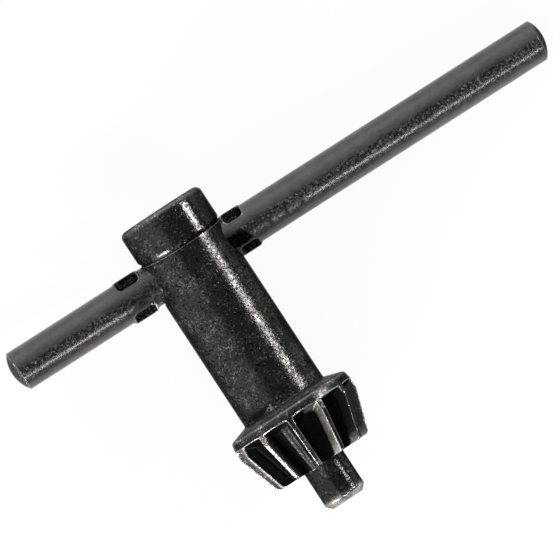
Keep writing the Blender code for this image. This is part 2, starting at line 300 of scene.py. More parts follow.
# Gloss and relief of the steel
GRAIN_HEIGHT = 1.2
BODY_RELIEF = 0.000021
SLEEK_RELIEF = 0.000014
BAR_RELIEF = 0.000013
PITTED_RELIEF = 0.000018
SATIN_ROUGHNESS = (0.15, 0.21)
SLEEK_ROUGHNESS = (0.09, 0.13)
RUBBED_ROUGHNESS = 0.45
BAR_ROUGHNESS = 0.23
DULL_ROUGHNESS = 0.6
OXIDE_METALLIC = 0.7
BAR_GLOSS = 0.6

# Colours of the body's steel
OXIDE_DARK = (0.028, 0.0273, 0.0271, 1)
OXIDE_LIGHT = (0.038, 0.0372, 0.0369, 1)
OXIDE_SPECK = (0.13, 0.127, 0.126, 1)
# Specks in the painted shade and in the darker band
SHADE_AND_BAND_SPECK = (0.20, 0.195, 0.193, 1)
PIT_BLACK = (0.006, 0.006, 0.006, 1)
# Painted shade with dirt: the black of the gap roots and the dark of the unlit flanks
ROOT_SHADE_BLACK = (0.004, 0.004, 0.004, 1)
FLANK_SHADE_DARK = (0.016, 0.0156, 0.0155, 1)
# Bright steel of rubbing, used too for painted highlights, painted sheen and the painted light on the flanks
RUBBED_HIGHLIGHT_DARK = (0.30, 0.293, 0.290, 1)
RUBBED_HIGHLIGHT_LIGHT = (0.75, 0.735, 0.73, 1)
BARE_STEEL = (0.56, 0.55, 0.545, 1)
BODY_EDGE_TINT = (0.25, 0.25, 0.25, 1)

# Colours of the bar's steel
BAR_OXIDE_DARK = (0.029, 0.0273, 0.0271, 1)
BAR_OXIDE_LIGHT = (0.051, 0.0488, 0.0485, 1)
BAR_SPECK = (0.22, 0.217, 0.216, 1)
# Painted shade: the black between the slots beside the body stands for the body's shadow and reflection, over
# scuffs
SHADE_AND_SCUFF_BLACK = (0.001, 0.001, 0.001, 1)
SHADE_AND_SCUFF_SPECK = (0.02, 0.02, 0.02, 1)
# Painted shade over the oxide: the black in the slots, which the ends take too
SLOT_BLACK = (0.003, 0.003, 0.003, 1)
SLOT_SPECK = (0.09, 0.09, 0.09, 1)
# Painted highlight with wear on the lip of each slot, and wear round the ends
LIP_HIGHLIGHT_STEEL = (0.5, 0.49, 0.485, 1)

FLOOR_COLOUR = (0.85, 0.85, 0.85, 1)
WHITE = (1, 1, 1, 1)


def filleted(corners):
    """The points of an outline given as (radius, height, rounding), with each rounding as an arc."""
    points = []
    for index, (radius, height, rounding) in enumerate(corners):
        corner = Vector((radius, height))
        if not rounding:
            points.append(corner)
            continue
        back = (Vector(corners[index - 1][:2]) - corner).normalized()
        ahead = (Vector(corners[index + 1][:2]) - corner).normalized()
        half = back.angle(ahead) / 2
        centre = corner + (back + ahead).normalized() * rounding / math.sin(half)
        start = corner + back * rounding / math.tan(half) - centre
        turn = start.angle_signed(corner + ahead * rounding / math.tan(half) - centre)
        for step in range(ARC_STEPS + 1):
            points.append(centre + start @ Matrix.Rotation(turn * step / ARC_STEPS, 2))
    return points


def refined(points, step_at):
    """The same outline with points added, so that no stretch is much longer than step_at says."""
    out = [points[0]]
    for point in points[1:]:
        ahead = (point - out[-1]).normalized()
        while (point - out[-1]).length > ROW_SLACK * step_at(out[-1].y):
            out.append(out[-1] + ahead * step_at(out[-1].y))
        out.append(point)
    return out


def lofted(name, rings):
    """A closed mesh through rings of as many points each, between end rings of a single point."""
    bm = bmesh.new()
    rows = []
    for ring in rings:
        if len(ring) == 1:
            rows.append([bm.verts.new(ring[0])])
        else:
            rows.append([bm.verts.new(point) for point in ring])
    for first, second in zip(rows, rows[1:]):
        count = max(len(first), len(second))
        for column in range(count):
            after = (column + 1) % count
            if len(first) == 1:
                bm.faces.new((first[0], second[column], second[after]))
            elif len(second) == 1:
                bm.faces.new((first[column], second[0], first[after]))
            else:
                bm.faces.new((first[column], second[column], second[after], first[after]))
    bm.normal_update()
    mesh = bpy.data.meshes.new(name)
    bm.to_mesh(mesh)
    bm.free()
    mesh.shade_smooth()
    made = bpy.data.objects.new(name, mesh)
    bpy.context.scene.collection.objects.link(made)
    return made


def smooth_max(a, b, blend):
    """The larger of two values, with a rounded change from one to the other."""
    share = np.clip(0.5 + 0.5 * (a - b) / blend, 0, 1)
    return b * (1 - share) + a * share + blend * share * (1 - share)


def smooth_min(a, b, blend):
    return -smooth_max(-np.asarray(a), -np.asarray(b), blend)


BLANK_BACK = -SHANK_BELOW_BAR
BAND_END = BLANK_BACK - PINION_BAND_LENGTH
BLANK_FRONT = BLANK_BACK - PINION_LENGTH
GAP_MOUTH = BLANK_BACK - GAP_START
PILOT_TIP = BLANK_FRONT - PILOT_LENGTH


def pinion_radius_at(height):
    """The blank's radius at a height on its tapered part."""
    return PINION_RADIUS - (BAND_END - height) * math.tan(PINION_TAPER)


def body_outline():
    """The body's outline, from the middle of its head to the middle of its pilot's tip."""
    groove_top = GROOVE_ABOVE_BAR + GROOVE_WIDTH
    groove_floor = SHANK_RADIUS - GROOVE_DEPTH
    rim_radius = PINION_RADIUS - RIM_LEAD_DROP
    rim_height = BLANK_BACK - (rim_radius - SHANK_RADIUS) * math.tan(BACK_CONE_LEAN)
    return filleted(
        [
            (0.0, HEAD_ABOVE_BAR, 0),
            (HEAD_RADIUS, HEAD_ABOVE_BAR, HEAD_EDGE_ROUND),
            (HEAD_RADIUS, groove_top, GROOVE_EDGE_ROUND),
            (groove_floor, GROOVE_ABOVE_BAR + GROOVE_STEP, GROOVE_EDGE_ROUND / 2),
            (SHANK_RADIUS, GROOVE_ABOVE_BAR, GROOVE_EDGE_ROUND / 2),
            (SHANK_RADIUS, BLANK_BACK, SHANK_FOOT_ROUND),
            (rim_radius, rim_height, RIM_ROUND),
            (PINION_RADIUS, rim_height - RIM_LEAD_LENGTH, RIM_LEAD_LENGTH / 3),
            (PINION_RADIUS, BAND_END, TAPER_START_ROUND),
            (pinion_radius_at(BLANK_FRONT), BLANK_FRONT, PINION_FRONT_ROUND),
            (PILOT_RADIUS, BLANK_FRONT, PILOT_ROOT_ROUND),
            (PILOT_RADIUS, PILOT_TIP + PILOT_CHAMFER, PILOT_CHAMFER_ROUND),
            (PILOT_RADIUS - PILOT_CHAMFER, PILOT_TIP, PILOT_CHAMFER_ROUND),
            (0.0, PILOT_TIP, 0),
        ]
    )


def outline_step(height):
    """How far apart the body's rows may be at a height: close at the hole, the groove and the teeth."""
    if abs(height) < BAR_RADIUS + 6 * HOLE_EDGE_ROUND:
        return HOLE_ROW_STEP
    if BAND_END < height < GAP_MOUTH + MOUTH_MARGIN:
        return MOUTH_ROW_STEP
    if BLANK_FRONT - FRONT_MARGIN < height <= BAND_END:
        return TOOTH_ROW_STEP
    return PLAIN_ROW_STEP


def gap_section(height):
    """A tooth gap's root radius and half its root width at a height."""
    along = (BAND_END - height) / (BAND_END - BLANK_FRONT)
    land = TOOTH_LAND_BACK + (TOOTH_LAND_FRONT - TOOTH_LAND_BACK) * along
    outer = pinion_radius_at(height)
    root_radius = PINION_RADIUS - TOOTH_DEPTH - (BAND_END - height) * math.tan(ROOT_CONE)
    half_pitch = math.pi / TOOTH_COUNT
    half_mouth = outer * math.sin(half_pitch) - land / 2
    rise = outer * math.cos(half_pitch) - root_radius
    half_root = half_mouth - rise * math.tan(TOOTH_FLANK)
    return root_radius, half_root


def section_at(height):
    """The gap's section, which is straight between the band's end and the front and goes on beyond them."""
    back_root, back_half = gap_section(BAND_END)
    front_root, front_half = gap_section(BLANK_FRONT)
    along = (height - BAND_END) / (BLANK_FRONT - BAND_END)
    return (
        back_root + (front_root - back_root) * along,
        back_half + (front_half - back_half) * along,
    )


def eased(count, start, end):
    """Angles from start up to end that crowd together at both ends."""
    steps = np.arange(count) / count
    return start + (end - start) * (steps - np.sin(math.tau * steps) / math.tau * CROWDING)


def column_angles(height):
    """The angles of one tooth pitch's columns about the middle of its gap, crowded at the tooth's corners."""
    half_pitch = math.pi / TOOTH_COUNT
    root_radius, half_root = section_at(min(max(height, BLANK_FRONT), GAP_MOUTH))
    outer = pinion_radius_at(min(max(height, BLANK_FRONT), BAND_END))
    rise = outer - root_radius
    root_angle = math.atan(half_root / root_radius)
    mouth_angle = math.atan((half_root + rise * math.tan(TOOTH_FLANK)) / outer)
    flat_columns = COLUMNS_PER_TOOTH // 6 - 1
    flank_columns = COLUMNS_PER_TOOTH // 2 - 2 * flat_columns
    half = np.concatenate(
        [
            eased(flat_columns, 0.0, root_angle),
            eased(flank_columns, root_angle, mouth_angle),
            eased(flat_columns, mouth_angle, half_pitch),
        ]
    )
    return np.concatenate([[-half_pitch], -half[:0:-1], half])


def gap_surface(height, angles):
    """How far from the axis the gap's floor, flanks and closed end lie, at these angles from its middle."""
    root_radius, half_root = section_at(height)
    across = np.abs(np.sin(angles))
    along = np.cos(angles)
    floor = root_radius / along
    slope = 1 / math.tan(TOOTH_FLANK)
    flank = (root_radius - half_root * slope) / np.maximum(along - across * slope, STEEPEST_FLANK)
    wall = (PINION_RADIUS - (GAP_MOUTH - height) / math.tan(GAP_END_SLOPE)) / along
    surface = smooth_max(floor, flank, ROOT_ROUND)
    return smooth_max(surface, wall, ROOT_ROUND)


def body_ring(radius, height):
    """One row of the body's columns, cut by the tooth gaps where the row lies in the pinion."""
    pitch = math.tau / TOOTH_COUNT
    angles = column_angles(height)
    radii = np.full(len(angles), radius)
    in_teeth = BLANK_FRONT - SAME_HEIGHT <= height < GAP_MOUTH + 3 * TOOTH_EDGE_ROUND
    if in_teeth and radius > PILOT_RADIUS + 3 * PILOT_ROOT_ROUND:
        radii = smooth_min(radii, gap_surface(height, angles), TOOTH_EDGE_ROUND)
    ring = []
    for tooth in range(TOOTH_COUNT):
        middle = -math.pi / 2 + TOOTH_PHASE + (tooth + 0.5) * pitch
        for angle, reach in zip(angles, radii):
            ring.append((reach * math.cos(middle + angle), reach * math.sin(middle + angle), height))
    return ring


def body_rings():
    """All the body's rows, from the middle of its head to the middle of its pilot's tip."""
    points = refined(body_outline(), outline_step)
    rings = [[(0.0, 0.0, HEAD_ABOVE_BAR)]]
    front_ring = None
    for radius, height in points[1:-1]:
        on_front = abs(height - BLANK_FRONT) < SAME_HEIGHT
        ring = body_ring(radius, height)
        if on_front and front_ring is None:
            front_ring = np.array(ring)
            front_radius = radius
        elif on_front:
            share = (radius - PILOT_RADIUS) / (front_radius - PILOT_RADIUS)
            circle = np.array(body_ring(PILOT_RADIUS, height))
            ring = [tuple(point) for point in circle + (front_ring - circle) * share]
        rings.append(ring)
    rings.append([(0.0, 0.0, PILOT_TIP)])
    return rings


def soften_hole_mouths(mesh):
    """Rounds the body down towards the edges of the cross hole."""
    hole_radius = BAR_RADIUS + BAR_CLEARANCE
    for vert in mesh.vertices:
        x, y, z = vert.co
        apart = math.hypot(y, z) - hole_radius
        if apart < HOLE_EDGE_ROUND and abs(z) < 2 * hole_radius:
            inward = min(HOLE_EDGE_ROUND - apart, HOLE_EDGE_ROUND)
            drop = HOLE_EDGE_ROUND - math.sqrt(HOLE_EDGE_ROUND**2 - inward**2)
            scale = 1 - drop / math.hypot(x, y)
            vert.co.x *= scale
            vert.co.y *= scale


def tilt_groove(mesh):
    """Tilts the groove, so that it dips at the front and a little to the right, and widens it at one side."""
    middle = GROOVE_ABOVE_BAR + GROOVE_WIDTH / 2
    for vert in mesh.vertices:
        x, y, z = vert.co
        window = float(eased_step((GROOVE_MOVED_REACH - abs(z - middle)) / GROOVE_MOVED_FADE))
        above = float(eased_step((z - GROOVE_ABOVE_BAR - GROOVE_STEP) / GROOVE_LIFT_FADE))
        apart = (math.degrees(math.atan2(y, x)) - GROOVE_WIDE_AROUND) / GROOVE_WIDE_REACH
        rise = GROOVE_WIDENING * above * math.exp(-(apart**2))
        vert.co.z += (math.tan(GROOVE_DIP) * y - math.tan(GROOVE_LEAN) * x + rise) * window


def blank_radius_at(heights):
    """The blank's outer radius at these heights of the pinion."""
    outline = [point for point in body_outline() if BLANK_FRONT - SAME_HEIGHT <= point.y < BLANK_BACK]
    outline = outline[::-1]
    return np.interp(heights, [point.y for point in outline], [point.x for point in outline])


def near_middle(values, middle, reach):
    """Nearly 1 within reach of the middle, and soon 0 beyond it."""
    return np.exp(-(((values - middle) / reach) ** 4))


def rubbed_and_highlight_share(radii, around, heights):
    """How far patches and rings of the body are painted bright, as steel bared by rubbing and as painted
    highlights and sheen.
    """
    rubbed_and_highlight = np.zeros(len(radii))
    for direction, spread, height, reach, share in (
        RIM_SCUFF,
        GROOVE_GLINT,
        GAP_SCUFF,
        GAP_HIGHLIGHT_LINE,
        FLANK_SCUFF,
    ):
        turned = (around - direction + 180) % 360 - 180
        patch = near_middle(turned, 0, spread) * near_middle(heights, height, reach)
        rubbed_and_highlight = np.maximum(rubbed_and_highlight, share * patch)
    half_chamfer = PILOT_CHAMFER / 2
    for radius, height, (reach, share) in (
        (HEAD_RADIUS, HEAD_ABOVE_BAR, HEAD_RUB),
        (PINION_RADIUS - RIM_LEAD_DROP, BLANK_BACK - RIM_RUB_BELOW, RIM_RUB),
        ((SHANK_RADIUS + PINION_RADIUS) / 2, BLANK_BACK - CONE_SHEEN_BELOW, CONE_SHEEN),
        (PILOT_RADIUS - half_chamfer, PILOT_TIP + half_chamfer, CHAMFER_RUB),
    ):
        apart = np.hypot(radii - radius, heights - height)
        rubbed_and_highlight = np.maximum(rubbed_and_highlight, share * near_middle(apart, 0, reach))
    return rubbed_and_highlight


def shade_and_band_dark_share(radii, around, heights):
    """How far the body is darkened: painted shade at the foot of its shank by the cone and on one side of its
    groove, and a darker ring on the pinion's band.
    """
    at_foot = near_middle(heights, BLANK_BACK + FOOT_SHADE_ABOVE, FOOT_SHADE_REACH)
    at_foot = at_foot * (radii < SHANK_RADIUS + JUST_OUTSIDE)
    at_foot = at_foot * np.clip(np.cos(2 * np.radians(around - FOOT_SHADE_MIDDLE)), 0, 1)
    on_band = near_middle(heights, BAND_DARK_HEIGHT, BAND_DARK_REACH) * BAND_DARK
    on_band = on_band * (radii > PINION_RADIUS - 2 * RIM_LEAD_DROP)
    in_groove = near_middle(heights, GROOVE_ABOVE_BAR + GROOVE_WIDTH / 2, GROOVE_WIDTH / 2)
    facing = np.cos(np.radians(around - GROOVE_SHADE_MIDDLE))
    in_groove = in_groove * eased_step((facing - GROOVE_SHADE_FROM) / GROOVE_SHADE_FADE)
    return np.maximum(np.maximum(at_foot, on_band), in_groove)


def body_shares(points):
    """The wear, the painted light and shade, the darker band and the finish at these points, and how deep
    they lie between the teeth.
    """
    radii = np.hypot(points[:, 0], points[:, 1])
    heights = points[:, 2]
    around = np.degrees(np.arctan2(points[:, 1], points[:, 0]))
    pitch = math.tau / TOOTH_COUNT
    angles = np.arctan2(points[:, 1], points[:, 0]) + math.pi / 2 - TOOTH_PHASE
    angles = (angles % pitch) - pitch / 2
    outer = blank_radius_at(heights)
    surface = gap_surface(heights, angles)
    at_teeth = (heights < GAP_MOUTH + WEAR_WIDTH) & (heights > BLANK_FRONT - WEAR_WIDTH)
    at_teeth = at_teeth & (radii > PILOT_RADIUS + PILOT_MARGIN)
    near = np.maximum(np.abs(surface - outer), outer - radii)
    worn_and_highlight = np.exp(-((near / WEAR_WIDTH) ** 2)) * at_teeth
    # Edges bared by wear, and a painted highlight along the groove's step
    for radius, height, share in (
        (SHANK_RADIUS, GROOVE_ABOVE_BAR, GROOVE_EDGE_HIGHLIGHT),
        (pinion_radius_at(BLANK_FRONT), BLANK_FRONT, PINION_FRONT_WEAR),
        (PILOT_RADIUS, PILOT_TIP + PILOT_CHAMFER, PILOT_EDGE_WEAR),
        (PILOT_RADIUS - PILOT_CHAMFER, PILOT_TIP, PILOT_EDGE_WEAR),
    ):
        apart = np.hypot(radii - radius, heights - height)
        worn_and_highlight = np.maximum(worn_and_highlight, share * np.exp(-((apart / RING_WEAR_WIDTH) ** 2)))
    depth = at_teeth * np.clip((outer - radii) / TOOTH_DEPTH, 0, 1)
    lobes = FLANK_LIGHT_PATCHES * np.radians(around - FLANK_LIGHT_MIDDLE)
    flank_light_and_wear = FLANK_LIGHT_AND_WEAR * (0.5 + 0.5 * np.cos(lobes)) ** 4
    flank_light_and_wear = flank_light_and_wear + FRONT_WEAR * eased_step(1 - (heights - BLANK_FRONT) / FRONT_WEAR_LENGTH)
    lands = np.cos(2 * np.radians(around - LAND_HIGHLIGHT_MIDDLE)) * at_teeth * (depth < LAND_DEPTH)
    lands = LAND_WEAR_AND_HIGHLIGHT * np.clip(lands, 0, 1) * (heights < GAP_MOUTH)
    above_groove = eased_step((heights - GROOVE_ABOVE_BAR) / SLEEK_FADE)
    return {
        "worn_and_highlight": worn_and_highlight,
        "rubbed_and_highlight": np.maximum(rubbed_and_highlight_share(radii, around, heights), lands),
        "gap_depth": depth,
        "flank_light_and_wear": (depth > FLANK_DEPTH) * (angles > 0) * np.clip(flank_light_and_wear, 0, 1),
        "shade_and_band_dark": shade_and_band_dark_share(radii, around, heights),
        "sleek": np.maximum(above_groove, radii < PILOT_RADIUS + JUST_OUTSIDE),
    }


def set_share(mesh, name, values):
    field = mesh.attributes.new(name, "FLOAT", "POINT")
    field.data.foreach_set("value", np.asarray(values, np.float32))


def mesh_points(mesh):
    points = np.empty(len(mesh.vertices) * 3)
    mesh.vertices.foreach_get("co", points)
    return points.reshape(-1, 3)


def hole_cutter():
    """The cross hole, flared a little at both mouths."""
    hole_radius = BAR_RADIUS + BAR_CLEARANCE
    flare_start = HEAD_RADIUS - HOLE_FLARE_DEPTH
    mouth = HEAD_RADIUS + OVERCUT
    mouth_radius = hole_radius + (mouth - flare_start) * math.tan(HOLE_FLARE)
    half = [(mouth_radius, mouth), (hole_radius, flare_start)]
    outline = [Vector(point) for point in half + [(radius, -place) for radius, place in half[::-1]]]
    turns = [math.tau * step / BAR_COLUMNS for step in range(BAR_COLUMNS)]
    rings = [[(mouth, 0.0, 0.0)]]
    for radius, place in outline:
        rings.append([(place, radius * math.cos(turn), radius * math.sin(turn)) for turn in turns])
    rings.append([(-mouth, 0.0, 0.0)])
    return lofted("cross_hole", rings)


def evaluated_mesh(made):
    graph = bpy.context.evaluated_depsgraph_get()
    return bpy.data.meshes.new_from_object(made.evaluated_get(graph))


def out_facing(mesh):
    bm = bmesh.new()
    bm.from_mesh(mesh)
    bmesh.ops.recalc_face_normals(bm, faces=bm.faces)
    bm.to_mesh(mesh)
    bm.free()


def key_body(place):
    made = lofted("key_body_steel", body_rings())
    out_facing(made.data)
    soften_hole_mouths(made.data)
    cutter = hole_cutter()
    out_facing(cutter.data)
    cut = made.modifiers.new("cross hole", "BOOLEAN")
    cut.operation = "DIFFERENCE"
    cut.solver = "EXACT"
    cut.object = cutter
    mesh = evaluated_mesh(made)
    made.modifiers.clear()
    made.data = mesh
    bpy.data.objects.remove(cutter)
    mesh.shade_smooth()
    for name, values in body_shares(mesh_points(mesh)).items():
        set_share(mesh, name, values)
    tilt_groove(mesh)
    mesh.transform(place)
    return made


def dome_sag(radius):
    return BAR_DOME_RADIUS - math.sqrt(BAR_DOME_RADIUS**2 - radius**2)


def bar_outline():
    """The bar's outline about its own axis, from the crown of its long arm to the crown of its short arm."""
    rings = [(BAR_RADIUS - BAR_EDGE_ROUND) * step / DOME_STEPS for step in range(DOME_STEPS)]
    long_crown = [(radius, BAR_LONG_ARM - dome_sag(radius), 0) for radius in rings]
    short_crown = [(radius, dome_sag(radius) - BAR_SHORT_ARM, 0) for radius in reversed(rings)]
    rims = [
        (BAR_RADIUS, BAR_LONG_ARM - dome_sag(BAR_RADIUS), BAR_EDGE_ROUND),
        (BAR_RADIUS, dome_sag(BAR_RADIUS) - BAR_SHORT_ARM, BAR_EDGE_ROUND),
    ]
    return filleted(long_crown + rims + short_crown)


LONG_STAKE = (HEAD_RADIUS + STAKE_GAP_LONG_SIDE + STAKE_LENGTH_LONG_SIDE / 2, STAKE_LENGTH_LONG_SIDE)
SHORT_STAKE = (
    -HEAD_RADIUS - STAKE_GAP_SHORT_SIDE - STAKE_LENGTH_SHORT_SIDE / 2,
    STAKE_LENGTH_SHORT_SIDE,
)


def bar_step(place):
    """How far apart the bar's rows may be: close over the staking."""
    for station, length in (LONG_STAKE, SHORT_STAKE):
        if abs(place - station) < length / 2 + STAKED_ROW_MARGIN:
            return STAKED_ROW_STEP
    return BAR_ROW_STEP


def slot_distance(along, around, length):
    """Signed distance from a slot's edge, negative inside it, measured over the bar's surface."""
    beyond_x = np.abs(along) - (length / 2 - STAKE_SLOT_CORNER)
    beyond_y = np.abs(around) - (STAKE_SLOT_WIDTH / 2 - STAKE_SLOT_CORNER)
    outside = np.hypot(np.maximum(beyond_x, 0), np.maximum(beyond_y, 0))
    inside = np.minimum(np.maximum(beyond_x, beyond_y), 0)
    return outside + inside - STAKE_SLOT_CORNER


def eased_step(value):
    value = np.clip(value, 0, 1)
    return value * value * (3 - 2 * value)


def staked_radius(place, turns):
    """The bar's radius at one place along it, and how far it is pressed and painted bright at a lip there, as
    painted highlight and wear.
    """
    radii = np.full(len(turns), BAR_RADIUS)
    pressed = np.zeros(len(turns))
    lip_wear_and_highlight = np.zeros(len(turns))
    for (station, length), top_lips, bottom_lips in (
        (LONG_STAKE, LONG_TOP_LIPS, LONG_BOTTOM_LIPS),
        (SHORT_STAKE, SHORT_TOP_LIPS, SHORT_BOTTOM_LIPS),
    ):
        along = place - station
        if abs(along) > length / 2 + STAKE_REACH:
            continue
        far_end = int(along * station > 0)
        for top, ear, worn_and_highlight in (
            (STAKE_TURN, STAKE_TOP_EAR_HEIGHT, top_lips[far_end]),
            (math.pi + STAKE_TURN, STAKE_BOTTOM_EAR_HEIGHT, bottom_lips[far_end]),
        ):
            apart = np.angle(np.exp(1j * (turns - top)))
            ramp = eased_step((length / 2 + STAKE_EAR_MARGIN - abs(along)) / STAKE_EAR_FADE)
            spread = eased_step((STAKE_EAR_HALF_WIDTH - np.abs(apart) * BAR_RADIUS) / STAKE_EAR_FADE)
            radii = radii + ear * ramp * spread
            for face in (-1, 1):
                middle = face * (math.pi / 2 - STAKE_SLOT_ANGLE)
                away = apart - middle
                edge = slot_distance(along, away * BAR_RADIUS, length)
                depth = eased_step(-edge / STAKE_SLOT_WALL)
                floor = (BAR_RADIUS - STAKE_SLOT_DEPTH) / np.maximum(np.cos(away), 0.5)
                lip = np.exp(-((edge / STAKE_LIP_WIDTH) ** 2)) * (edge > 0)
                radii = radii * (1 - depth) + np.minimum(floor, radii) * depth + STAKE_LIP_HEIGHT * lip
                pressed = np.maximum(pressed, eased_step(0.5 - edge / PRESSED_EDGE))
                at_end = eased_step((abs(along) - length / 2 + STAKE_SLOT_CORNER) / STAKE_LIP_FADE)
                lip_wear_and_highlight = np.maximum(lip_wear_and_highlight, worn_and_highlight * lip * at_end)
    return radii, pressed, lip_wear_and_highlight


def scuff_and_shade_share(place, turns):
    """How dark the bar is painted between its slots, as scuffs and as painted shade of the body, and how dull
    and dark beside the body, at one place along it.
    """
    share = np.zeros(len(turns))
    for middle, reach, strength in (LONG_PAINTED_SHADE, SHORT_SCUFF):
        near = DULL_SHARE * eased_step(min(DULL_TO - place, place - DULL_FROM) / DULL_FADE)
        for face in (math.pi / 2, -math.pi / 2):
            apart = np.angle(np.exp(1j * (turns - face - PATCH_BELOW_MIDDLE)))
            beyond = abs(place - middle) - PATCH_LEAN * apart - reach
            along = np.maximum(near, strength * eased_step(0.5 - beyond / PATCH_FADE))
            share = np.maximum(share, along * eased_step((PATCH_REACH - np.abs(apart)) / PATCH_SIDE_FADE))
    return share


def pitted_share(place, turns):
    """How pitted the bar is along a band in front and one behind, and all round beside the hole."""
    share = np.zeros(len(turns))
    for face in (math.pi / 2, -math.pi / 2):
        apart = np.abs(np.angle(np.exp(1j * (turns - face - PITTED_BELOW_MIDDLE))))
        share = np.maximum(share, eased_step((PITTED_REACH - apart) / PITTED_SIDE_FADE))
    by_hole = PITTED_BY_HOLE * eased_step((place - SHORT_SCUFF[0]) / PITTED_BY_HOLE_FADE) * (place < 0)
    return np.maximum(share, by_hole)


def cross_bar(place):
    turns = np.array([math.tau * step / BAR_COLUMNS for step in range(BAR_COLUMNS)])
    points = refined(bar_outline(), bar_step)
    end_depth = dome_sag(BAR_RADIUS) + BAR_EDGE_ROUND
    rings = [[(BAR_LONG_ARM, 0.0, 0.0)]]
    shares = {"pressed": [0.0], "lip": [0.0], "scuff_and_shade": [0.0], "pitted": [0.0], "on_end": [CROWN_DARK]}
    for radius, place_along in points[1:-1]:
        radii, slot, lip = staked_radius(place_along, turns)
        from_edge = (BAR_RADIUS - radius) / BAR_EDGE_ROUND
        on_long_arm = place_along > 0
        on_end = LONG_END_DARK if on_long_arm else SHORT_END_DARK
        on_end = on_end * float(eased_step(from_edge * END_DARK_RAMP))
        edge_lip = LONG_END_LIP if on_long_arm else SHORT_END_LIP
        edge_lip = edge_lip * math.exp(-(((from_edge - END_LIP_PLACE) / END_LIP_REACH) ** 2))
        radii = radii * radius / BAR_RADIUS
        up = radii * np.cos(turns)
        front = radii * np.sin(turns)
        along = np.full(BAR_COLUMNS, place_along)
        if place_along > BAR_LONG_ARM - end_depth:
            along = along + BAR_LONG_CROWN_OFFSET * up / BAR_DOME_RADIUS
        if place_along < end_depth - BAR_SHORT_ARM:
            along = along - BAR_SHORT_CROWN_OFFSET * up / BAR_DOME_RADIUS
        rings.append(list(zip(along, -front, up)))
        shares["pressed"] += list(slot)
        shares["lip"] += list(np.maximum(lip, edge_lip))
        shares["pitted"] += list(pitted_share(place_along, turns))
        shares["scuff_and_shade"] += list(scuff_and_shade_share(place_along, turns))
        shares["on_end"] += [on_end] * BAR_COLUMNS
    rings.append([(-BAR_SHORT_ARM, 0.0, 0.0)])
    made = lofted("cross_bar_steel", rings)
    out_facing(made.data)
    for name, values in shares.items():
        set_share(made.data, name, values + [values[-1]])
    made.data.transform(place)
    return made


def key_frame():
    """Where the key's own frame and the bar's frame lie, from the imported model."""
    mounts = {mount["name"]: mount for mount in frame["record"]["mounts"]}
    head = Vector(mounts["head_top"]["pos_m"])
    up = (head - Vector(mounts["pilot_tip"]["pos_m"])).normalized()
    middle = head - up * HEAD_ABOVE_BAR
    points = np.array([vert.co for vert in frame["nodes"]["cross_bar"].data.vertices])
    along = (points - np.array(middle)) @ np.array(rough_bar_direction(points))
    long_end = Vector(points[along > along.max() - BAR_END_REACH].mean(axis=0))
    short_end = Vector(points[along < along.min() + BAR_END_REACH].mean(axis=0))
    bar = (long_end - short_end).normalized()
    bar_up = (up - bar * bar.dot(up)).normalized()
    across = (bar - up * up.dot(bar)).normalized()
    body = axes_matrix(across, up, middle)
    return body, axes_matrix(bar, bar_up, middle)


def rough_bar_direction(points):
    spread = points - points.mean(axis=0)
    direction = np.linalg.svd(spread, full_matrices=False)[2][0]
    return direction if direction[0] > 0 else -direction


def axes_matrix(along, up, origin):
    turn = Matrix((along, up.cross(along), up)).transposed().to_4x4()
    return Matrix.Translation(origin) @ turn


def feed(tree, socket, value):
    """Links a socket to the one given, or sets it to the value given."""
    if isinstance(value, bpy.types.NodeSocket):
        tree.links.new(value, socket)
    else:
        socket.default_value = value


def set_inputs(tree, node, **inputs):
    for name, value in inputs.items():
        feed(tree, node.inputs[name.replace("_", " ")], value)


def add(tree, kind, **inputs):
    """A new node, with each named input linked to a socket or set to a value."""
    made = tree.nodes.new(kind)
    set_inputs(tree, made, **inputs)
    return made


def noise(tree, scale, detail=2.0, roughness=0.5):
    place = add(tree, "ShaderNodeTexCoord").outputs["Object"]
    made = add(tree, "ShaderNodeTexNoise", Vector=place, Scale=scale, Detail=detail, Roughness=roughness)
    return made.outputs["Fac"]


def share_of(tree, value, levels):
    """How far a value has come from the lower to the upper level, from 0 to 1."""
    low, high = levels
    made = add(tree, "ShaderNodeMapRange", Value=value, From_Min=low, From_Max=high)
    made.interpolation_type = "SMOOTHSTEP"
    return made.outputs["Result"]


def calc(tree, operation, first, second):
    made = tree.nodes.new("ShaderNodeMath")
    made.operation = operation
    for socket, value in zip(made.inputs, (first, second)):
        feed(tree, socket, value)
    return made.outputs["Value"]


def blend(tree, share, first, second):
    """A mix of two values or colours."""
    made = tree.nodes.new("ShaderNodeMix")
    colours = not isinstance(second, (int, float)) and not (
        isinstance(second, bpy.types.NodeSocket) and second.type == "VALUE"
    )
    made.data_type = "RGBA" if colours else "FLOAT"
    used = [socket for socket in made.inputs if socket.enabled]
    for socket, value in zip(used, (share, first, second)):
        feed(tree, socket, value)
    return next(socket for socket in made.outputs if socket.enabled)


def painted(tree, name):
    made = tree.nodes.new("ShaderNodeAttribute")
    made.attribute_name = name
    return made.outputs["Fac"]


def new_material(name):
    made = bpy.data.materials.new(name)
    made.use_nodes = True
    return made, made.node_tree, made.node_tree.nodes["Principled BSDF"]


def oxide_grain(tree):
    """The fine grain of the steel, and the round dots that stand out of it."""
    grain = noise(tree, GRAIN_SCALE, detail=2.0, roughness=0.6)
    dots = share_of(tree, noise(tree, DOTS_SCALE, detail=1.0, roughness=0.5), DOTS_LEVELS)
    return grain, dots


